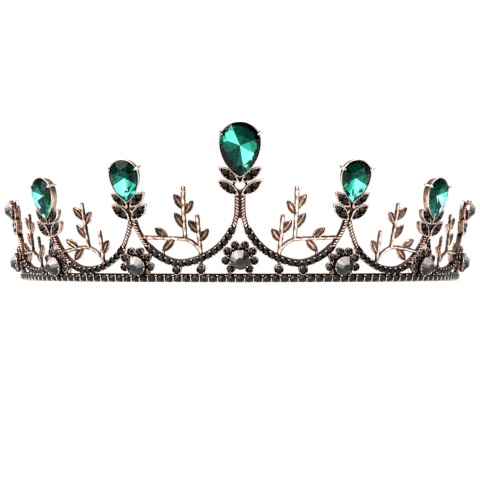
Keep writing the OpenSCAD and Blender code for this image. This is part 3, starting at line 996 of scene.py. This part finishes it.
def leaf_cups(tip, cups, eye, stem_foot):
    """Four leaf cups and their stem, with the stone's tip at height tip above the origin."""
    shape = Shape()
    for drop, slope, length, w in cups:
        one = leaf_cup(length, w)
        place = moved(0, tip) @ moved(CUP_SHIFT, -drop, 0, slope)
        shape.add_shape(one, place)
        shape.add_shape(one, FLIP @ place)
    shape.add(eye_ring(*eye), moved(0, tip))
    _, height, depth, _ = eye
    gap = 0.2
    above, below = depth - height / 2 - gap, depth + height / 2 + gap
    section = rounded_box(CUP_STEM_W, WALL_BACK, high=0.8)
    for x in (-CUP_STEM_W / 2, CUP_STEM_W / 2):
        for foot, top in ((above, gap), (stem_foot, below)):
            shape.add(upright_bar(section, (x, tip - foot), (x, tip - top), dark=0.9))
    return shape


def leaf_gems(tip, cups):
    """The stones in the leaf cups."""
    shape = Shape()
    gem = round_cut(*CUP_STONE)
    for drop, slope, length, _ in cups:
        for k in CUP_STONES:
            place = moved(0, tip) @ moved(CUP_SHIFT, -drop, 0, slope)
            place = place @ moved(length * k, 0, CUP_GIRDLE, CUP_SPIN * k)
            add_gem(shape, gem, place)
            add_gem(shape, gem, FLIP @ place)
    return shape


def pear_setting(w, length):
    """A cup round a pear stone, with two claws and the stone's tip at the origin."""
    shape = Shape()

    def outline(inset):
        grow = BEZEL_T - inset
        return pear_outline(w + 2 * grow, length + 2 * grow) - [0, grow]

    shape.add(cup(outline, PEAR_CUP))
    claw = lathe([(0.3, -0.2), (0.42, 0.5), (0.4, 1.9), (0.3, 2.5), (0.26, 2.9)], 10, dark=0.1)
    for angle in CLAW_ANGLES:
        arm = moved(0, length - w / 2, 0, angle) @ moved(w / 2 + 0.55, 0)
        shape.add(claw, arm)
        shape.add(ball(0.6), arm @ moved(0.22, 0, PEAR_GIRDLE + 0.43))
        shape.add(ball(0.36), arm @ moved(-0.45, 0, PEAR_GIRDLE + 0.5))
    return shape


def round_setting(base):
    """A raised cup and six claws for a large round stone. base adds a plate behind it."""
    shape = Shape()
    r = ROUND_D / 2
    shape.add(round_cup(r, ROUND_CUP, 32))
    if base:
        shape.add(round_cup(r, ROUND_PLATE, 32))
    for k in range(6):
        shape.add(bead(0.3, 1.95), moved(0, 0, 0, 60 * k + 15) @ moved(r + 0.08, 0, 1.4))
    return shape


def flower_angles(h):
    """The places of a flower's cups that are clear of the band."""
    return [a for a in FLOWER_PLACES if h + FLOWER_R * math.sin(math.radians(a)) > BAND_H + FLOWER_RISE]


def flower(h):
    """Small cups round a large round stone, on a plate with two legs down to the band."""
    shape = round_setting(base=False)
    small_cup = round_cup(FLOWER_CUP_D / 2, FLOWER_CUP, 20)
    post = bead(0.16, 1.35)
    for a in flower_angles(h):
        place = moved(0, 0, 0, a) @ moved(FLOWER_R, 0)
        shape.add(small_cup, place)
        for b in (45, 135, 225, 315):
            shape.add(post, place @ moved(0, 0, 0.4, b) @ moved(1.18, 0))
    shape.add(round_cup(FLOWER_R, FLOWER_PLATE, 36))
    section = rounded_box(LEG_W, low=-0.45, high=0.75, r=0.3)
    foot = BAND_H / 2 - h
    for side in (-1, 1):
        x = side * LEG_X
        shape.add(upright_bar(section, (x + side * LEG_SPREAD, foot), (x, LEG_L + foot), dark=0.6))
    return shape


def flower_gems(h):
    shape = Shape()
    gem = round_cut(*SMALL_STONE)
    for a in flower_angles(h):
        add_gem(shape, gem, moved(0, 0, 0, a) @ moved(FLOWER_R, 0, FLOWER_GIRDLE, FLOWER_SPIN + a))
    return shape


def strut(p):
    """A small cup between the swag and the band, on a short link."""
    shape = Shape()
    shape.add(round_cup(STRUT_D / 2, STRUT_CUP, 24), on_wall(*p))
    for b in (45, 135, 225, 315):
        shape.add(bead(0.18, 1.2), on_wall(*p, 0.2, b) @ moved(1.3, 0))
    link = np.array([(p[0], p[1] - STRUT_LINK / 2), (p[0], p[1] + STRUT_LINK / 2)])
    shape.add(wall_bar(link, rounded_box(1.2, low=-0.4, high=0.5, r=0.25), dark=0.3))
    return shape


def struts():
    """The two struts a side, with their stones."""
    shape, gems = Shape(), Shape()
    gem = round_cut(*STRUT_STONE)
    for p in STRUTS:
        shape.add_shape(strut(p))
        add_gem(gems, gem, on_wall(*p, STRUT_GIRDLE))
    metal_pair("struts", shape)
    gems.add_shape(gems.mirrored())
    gem_piece("strut_gems", gems, "strut_stones")


def peaks():
    """The seven peaks: leaf cups, stone settings, flowers and all their stones."""
    all_leaf_gems, all_flower_gems = Shape(), Shape()
    for name, pitches, tip, w, length, h in PEAKS:
        s = pitches * PEAK_PITCH
        if name == "centre":
            layout, eye, stem_foot = CENTRE_CUPS, CENTRE_EYE, CENTRE_STEM_FOOT
        else:
            layout, eye, stem_foot = SIDE_CUPS, SIDE_EYE, SIDE_STEM_FOOT
        cups = leaf_cups(tip, layout, eye, stem_foot).placed(on_wall(s, 0))
        bloom = flower(h).placed(on_wall(s, h))
        leaves = leaf_gems(tip, layout).placed(on_wall(s, 0))
        petals = flower_gems(h).placed(on_wall(s, h))
        setting, stone = top_of_peak(name, s, tip, w, length)
        for label, side in peak_sides(name):
            metal_piece("leaf_cups_" + label, cups.placed(side))
            metal_piece("flower_" + label, bloom.placed(side))
            all_leaf_gems.add_shape(leaves, side)
            all_flower_gems.add_shape(petals, side)
            dark_gem_piece("round_gem_" + label, large_gem(s, h).placed(side), "round_stone_" + label)
            metal_piece("top_setting_" + label, setting.placed(side))
            if w:
                gem_piece("pear_gem_" + label, stone.placed(side), "pear_stone_" + label,
                          (GLASS, FOIL))
            else:
                node = "top_stone_" + label.replace("end_", "")
                dark_gem_piece("top_gem_" + label, stone.placed(side), node)
    gem_piece("leaf_gems", all_leaf_gems, "leaf_stones")
    gem_piece("flower_gems", all_flower_gems, "flower_stones")


def top_of_peak(name, s, tip, w, length):
    """The setting and the stone at the top of a peak: a pear, or a round stone on the end peaks."""
    if not w:
        setting = round_setting(base=True).placed(on_wall(s, TOP_STONE_H))
        return setting, large_gem(s, TOP_STONE_H)
    stone = Shape()
    gem, slots, tones = pear_cut(w, length, PEAR_LIGHTS[name])
    stone.add(gem, on_wall(s, tip, PEAR_GIRDLE), slots, tones)
    return pear_setting(w, length).placed(on_wall(s, tip)), stone


# Twigs

def leaf(length, w):
    """A solid leaf with a raised rim and lengthwise veins, along x."""
    u = np.linspace(0.0, 1.0, 25)[:, None]
    v = np.linspace(1, -1, 17)[None]
    half = w / 2 * np.sin(math.pi * u**0.95) ** 0.7 + 0.06
    edge = np.abs(v)
    # How much of the rim, of the midrib and of the side veins there is at each point
    rim = np.clip((edge - 0.76) / 0.12, 0, 1) * np.clip((1.06 - edge) / 0.12, 0, 1)
    vein = np.exp(-(v / 0.17) ** 2)
    ribs = 0.5 + 0.5 * np.cos(2 * math.pi * (8 * u - 1.6 * edge))
    top = 0.12 + 0.2 * rim + 0.24 * vein + 0.04 * ribs * (1 - rim) + 0.12 * np.sin(math.pi * u)
    x = np.broadcast_to(length * u, top.shape)
    y = half * v
    back = np.full_like(top, -0.36)
    rings = np.concatenate([np.stack([x, y, top], -1), np.stack([x, y, back], -1)[:, ::-1]], 1)
    front = 0.95 - np.maximum(0.9 * rim, 0.7 * vein) - 0.2 * ribs * (1 - rim)
    return skin(rings, np.concatenate([front, np.full_like(top, 0.35)], 1))


def stem(path, r=STEM_R, blunt=True):
    """A slightly uneven stem along a path on the wall, with a painted highlight along its front and
    painted shade on its sides.
    """
    path = resampled(smooth(path), 0.35)
    run = lengths(path)
    radius = r * (1 + 0.06 * np.sin(run * 2.1) + 0.05 * np.sin(run * 5.3))
    if blunt:
        left = run[-1] - run
        radius = radius * np.sqrt(np.clip(left / 0.4, 0.12, 1))
    ring = circle(1, 20)
    around = np.arctan2(ring[:, 0], ring[:, 1])[None]
    # A painted highlight line runs down the front; the sides keep their dark values as painted shade.
    wander = 0.15 * np.sin(run * 1.3 + path[0, 0])[:, None]
    highlight_strength = 0.85 + 0.3 * np.sin(run * 2.3 + path[0, 1])[:, None]
    painted_lighter = highlight_strength * np.clip(np.cos(around - wander), 0, 1) ** 7
    return wall_bar(path, ring[None] * radius[:, None, None] * [1, STEM_FLATNESS], 0.9 - painted_lighter)


def twigs():
    """In each bay two stems and a branch, with their leaves and a bud."""
    for bay, name in enumerate(BAYS):
        shape = Shape()
        for path in STEMS[bay]:
            shape.add(stem(path))
        shape.add(stem(BRANCHES[bay], BRANCH_R, blunt=False))
        for s, h, tip_s, tip_h in LEAVES[bay]:
            length = math.hypot(tip_s - s, tip_h - h)
            slope = math.degrees(math.atan2(tip_h - h, tip_s - s))
            shape.add(leaf(length, LEAF_W), on_wall(s, h, 0.05, slope))
        if bay == 0:
            shape.add(stem(LEAF_STRUT, LEAF_STRUT_R, blunt=False))
        top_s, top_h = STEMS[bay][1][-1]
        shape.add(ball(BUD_R), on_wall(top_s + BUD_SHIFT[0], top_h + BUD_SHIFT[1], 0.1))
        metal_pair("twig_" + name, shape, RIGHT_TWIGS_LIT)


# Hair loops

def sweep(points, r, sides=14):
    """A round bar through points in space, with a radius at each."""
    ahead = unit(np.gradient(points, axis=0))
    side = unit(np.cross(ahead, UP))
    above = np.cross(side, ahead)
    ring = circle(1, sides)
    r = np.broadcast_to(r, len(points))[:, None, None]
    around = side[:, None] * ring[None, :, :1] + above[:, None] * ring[None, :, 1:]
    return skin((points[:, None] + r * around)[:, ::-1])


def hair_loops():
    """Each loop is a wire, soldered inside the band's end, with a flattened ring for a hairpin."""
    shape = Shape()
    rim_r = (RING_D + RING_BORE) / 4
    section = rounded_box((RING_D - RING_BORE) / 2, -RING_T / 2, RING_T / 2, r=0.45, steps=5)
    to_band = np.array([math.sin(RING_TURN), -math.cos(RING_TURN), 0])
    axle = np.array([math.cos(RING_TURN), math.sin(RING_TURN), 0])
    x, y = circle(1, 64).T[..., None]
    spoke = to_band * x + UP * y
    rings = RING_CENTRE + spoke[:, None] * (rim_r + section[None, :, :1]) + axle * section[None, :, 1:]
    shape.add(skin(rings, closed=True))
    start = np.array([HALF_WIDTH - TAB_T / 2, BAND_DEPTH - 0.1 - CENTRE_Y, BAND_H / 2])
    end = RING_CENTRE + to_band * rim_r
    u = np.linspace(0, 1, 40)
    # The wire is thicker where it is soldered to the ring and to the band
    solder = 0.25 * np.exp(-((1 - u) / 0.03) ** 2) + 0.1 * np.exp(-(u / 0.03) ** 2)
    shape.add(sweep(start + (end - start) * u[:, None], WIRE_R + solder))
    for label, copy in (("right", shape), ("left", shape.mirrored())):
        make_piece("hair_loop_wire_" + label, copy, ["hair_loop_" + label], [WIRE])


# The studio

def add_floor():
    mesh = bpy.data.meshes.new("floor")
    rim = circle(FLOOR_R, 64)
    mesh.from_pydata([(x, y, 0.0) for x, y in rim], [], [tuple(range(64))])
    mesh.materials.append(floor_material())
    floor = add_object("floor", mesh)


def add_softbox(name, location, size, brightness):
    """An area light whose face has the given brightness."""
    light = bpy.data.lights.new(name, "AREA")
    light.shape = "RECTANGLE"
    light.size, light.size_y = size
    light.energy = brightness * math.pi * size[0] * size[1]
    softbox = add_object(name, light)
    softbox.location = location
    way = Vector(LIT_SPOT) - softbox.location
    softbox.rotation_euler = way.to_track_quat("-Z", "Y").to_euler()


def add_world():
    """A white studio: bright behind and above the crown, and dark in front, where the camera stands."""
    world = bpy.data.worlds.new("studio")
    world.use_nodes = True
    tree = world.node_tree
    tree.nodes.clear()
    way = add_node(tree, "SeparateXYZ", {0: add_node(tree, "TexCoord").outputs["Generated"]}).outputs
    behind = stretched(tree, way[1], 0.05, 0.35, start=0.1, end=0.5)
    above = stretched(tree, way[2], 0.0, 1.8, start=0.7, end=0.85)
    light = maths(tree, "ADD", behind, above)
    seen = add_node(tree, "LightPath").outputs["Is Camera Ray"]
    strength = add_node(tree, "Mix", {0: seen, 2: light, 3: BACKDROP}).outputs[0]
    background = add_node(tree, "Background", {"Color": (1, 1, 1, 1), "Strength": strength})
    output = add_node(tree, "OutputWorld")
    tree.links.new(background.outputs[0], output.inputs[0])
    bpy.context.scene.world = world


def add_camera():
    """The photograph looks up from below, so the camera is as low as the floor lets it be."""
    lens_data = bpy.data.cameras.new("camera")
    lens_data.lens = CAMERA_LENS
    lens_data.sensor_width = 36.0
    lens_data.clip_start = 0.01
    camera = add_object("camera", lens_data)
    camera.location = CAMERA_PLACE
    camera.rotation_euler = (math.radians(CAMERA_TILT), 0, 0)
    bpy.context.scene.camera = camera


def studio():
    add_floor()
    add_world()
    for row in SOFTBOXES:
        add_softbox(*row)
    add_camera()
    bpy.context.scene.view_settings.view_transform = "Standard"


band_strip()
band_prongs()
band_gems()
swags()
struts()
peaks()
twigs()
hair_loops()
studio()
